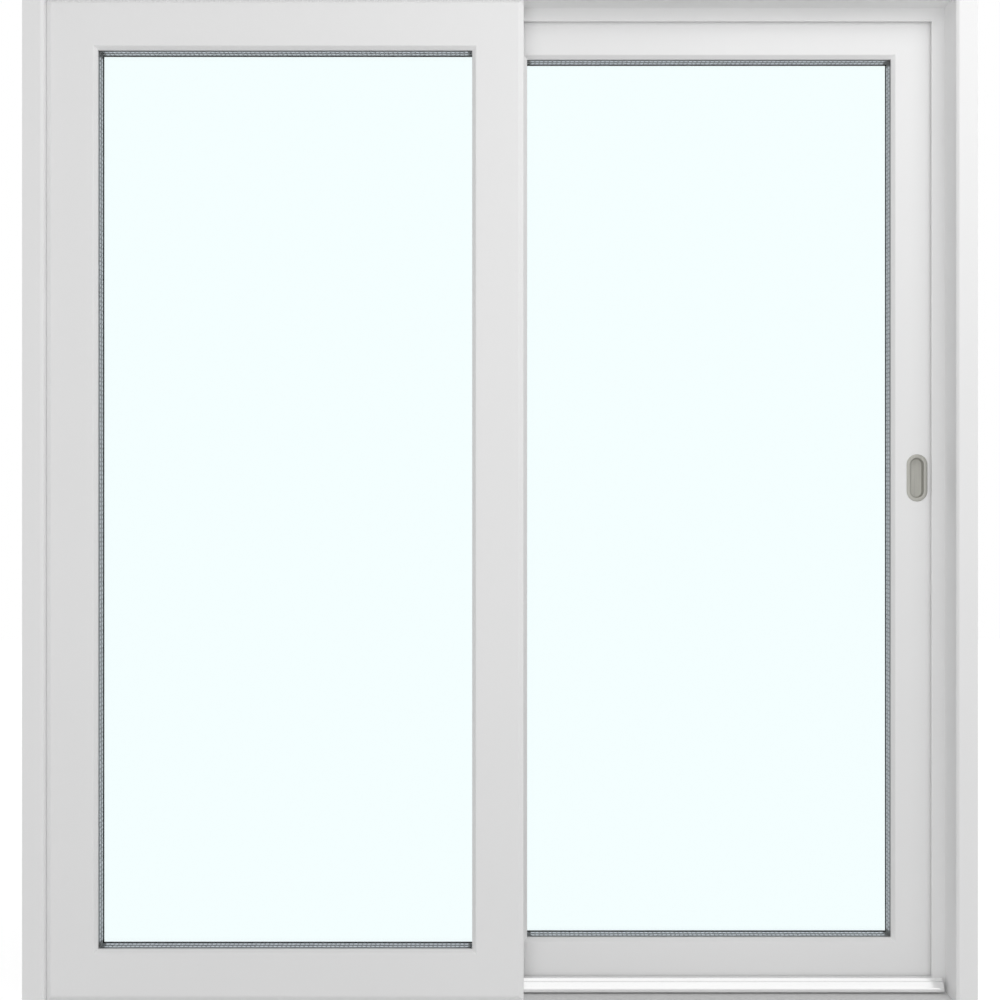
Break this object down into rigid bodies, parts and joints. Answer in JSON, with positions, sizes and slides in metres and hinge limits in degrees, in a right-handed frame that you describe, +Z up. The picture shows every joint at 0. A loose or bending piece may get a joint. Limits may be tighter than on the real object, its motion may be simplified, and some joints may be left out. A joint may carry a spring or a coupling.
{
  "type": "glass sliding patio door",
  "caption": "White plastic-framed sliding patio door: a fixed glazed leaf and a full-height glazed sash that rolls sideways behind it on a sill rail, with a flush pull.",
  "frame": {"origin": "middle of the sill's underside, halfway through the frame's depth", "axes": "+X to the right seen from outside, +Y into the room, +Z up"},
  "size_m": [2, 0.26, 2.2],
  "materials": {
    "white_upvc": "satin white",
    "sill_coating": "satin pale grey",
    "nose_aluminium": "bright",
    "glass": "clear, faint cool tint",
    "spacer_aluminium": "mill",
    "key_plastic": "moulded",
    "grey_gasket": "matt",
    "black_gasket": "matt",
    "rail_aluminium": "anodised",
    "stop_rubber": "matt",
    "satin_nickel": "satin",
    "roller_steel": "zinc plated",
    "shoe_plastic": "moulded"
  },
  "bodies": {
    "frame": {"head": "white_upvc", "left_jamb": "white_upvc", "right_jamb": "white_upvc", "fixed_left_stile": "white_upvc", "fixed_meeting_stile": "white_upvc", "fixed_top_rail": "white_upvc", "fixed_bottom_rail": "white_upvc", "fixed_left_bead": "white_upvc", "fixed_right_bead": "white_upvc", "fixed_top_bead": "white_upvc", "fixed_bottom_bead": "white_upvc", "fixed_interlock": "white_upvc", "threshold": "sill_coating", "sill_nose": "nose_aluminium", "fixed_outer_pane": "glass", "fixed_middle_pane": "glass", "fixed_inner_pane": "glass", "fixed_spacers": "spacer_aluminium", "fixed_corner_keys": "key_plastic", "fixed_outer_gasket": "grey_gasket", "fixed_inner_gasket": "black_gasket", "running_rail": "rail_aluminium", "guide_rail": "rail_aluminium", "stop_buffers": "stop_rubber"},
    "sliding_sash": {"sash_lock_stile": "white_upvc", "sash_meeting_stile": "white_upvc", "sash_top_rail": "white_upvc", "sash_bottom_rail": "white_upvc", "sash_left_bead": "white_upvc", "sash_right_bead": "white_upvc", "sash_top_bead": "white_upvc", "sash_bottom_bead": "white_upvc", "sash_interlock": "white_upvc", "sash_outer_pane": "glass", "sash_middle_pane": "glass", "sash_inner_pane": "glass", "sash_spacers": "spacer_aluminium", "sash_corner_keys": "key_plastic", "sash_outer_gasket": "grey_gasket", "sash_inner_gasket": "black_gasket", "flush_pull": "satin_nickel", "handle_plate": "satin_nickel", "lever_handle": "satin_nickel", "roller_carriages": "roller_steel", "rollers": "roller_steel", "guide_shoes": "shoe_plastic"}
  },
  "joints": [
    {"name": "sash_slide", "type": "slide", "parent": "frame", "child": "sliding_sash", "axis": [-1, 0, 0], "range_m": [0, 0.89]}
  ]
}
